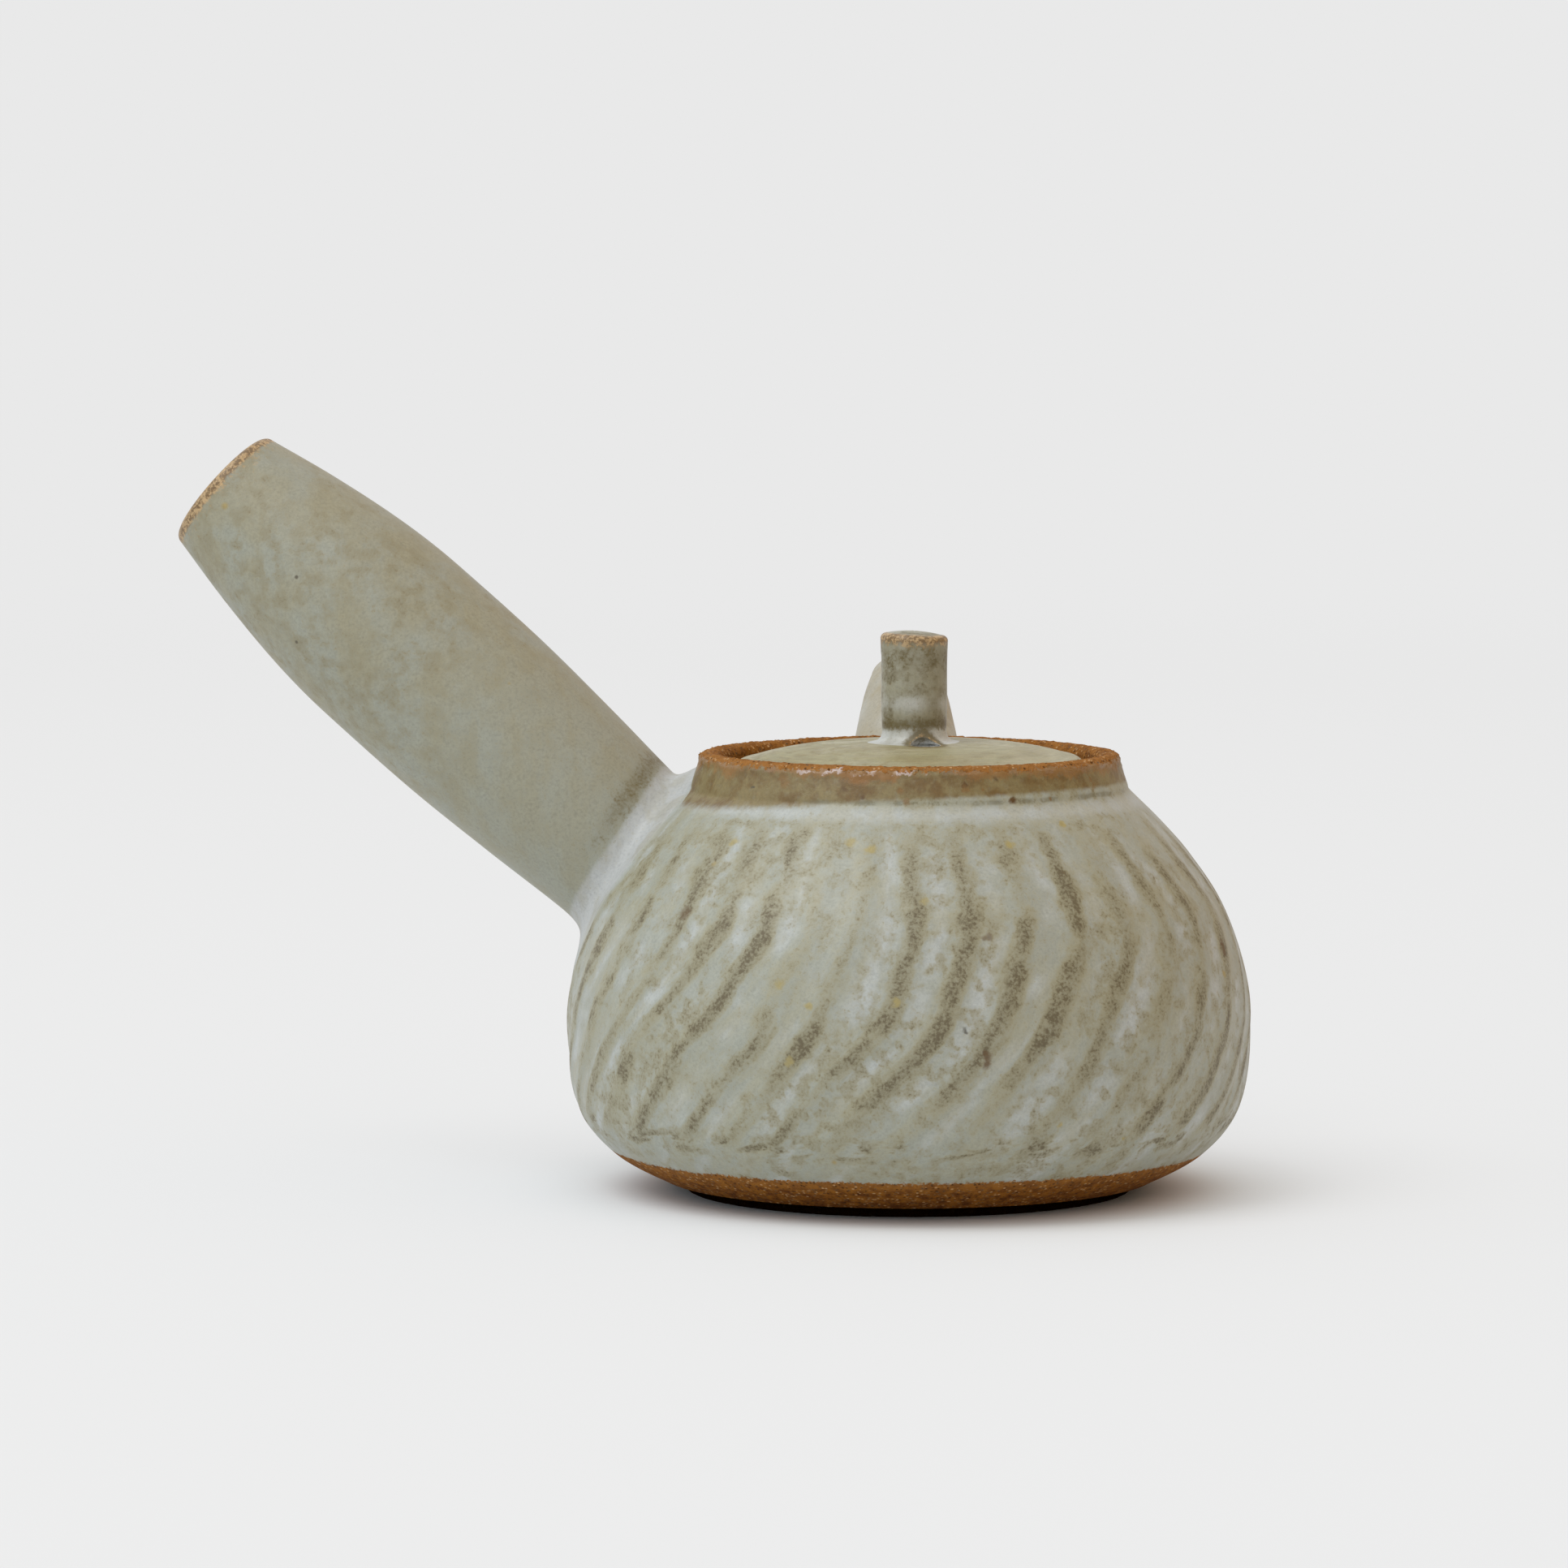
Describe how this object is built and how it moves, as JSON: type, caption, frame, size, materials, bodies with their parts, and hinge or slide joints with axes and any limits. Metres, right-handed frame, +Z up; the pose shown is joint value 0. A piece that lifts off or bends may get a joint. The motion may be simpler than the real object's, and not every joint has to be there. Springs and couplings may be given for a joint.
{
  "type": "side-handle teapot",
  "caption": "Round fluted stoneware teapot with a hollow side handle leaning up and out, a short spout at right angles to it and a sunk lid with a small knob.",
  "frame": {"origin": "middle of the flat foot, on the surface the pot stands on", "axes": "+Z up along the pot's own axis, +Y towards the spout, -X towards the side handle"},
  "size_m": [0.1738, 0.135, 0.12],
  "materials": {
    "streaked_glaze": "satin",
    "pale_glaze": "satin",
    "pooled_glaze": "satin",
    "lid_glaze": "satin"
  },
  "bodies": {
    "pot": {"pot_body": "streaked_glaze", "handle": "pale_glaze", "handle_joint_coil": "pooled_glaze", "spout": "pale_glaze", "spout_joint_coil": "pooled_glaze", "strainer": "pale_glaze"},
    "lid": {"lid": "lid_glaze", "knob": "pale_glaze", "knob_joint_coil": "pooled_glaze"}
  },
  "joints": [
    {"name": "lid_lift", "type": "slide", "parent": "pot", "child": "lid", "axis": [0, 0, 1], "range_m": [0, 0.066]}
  ]
}
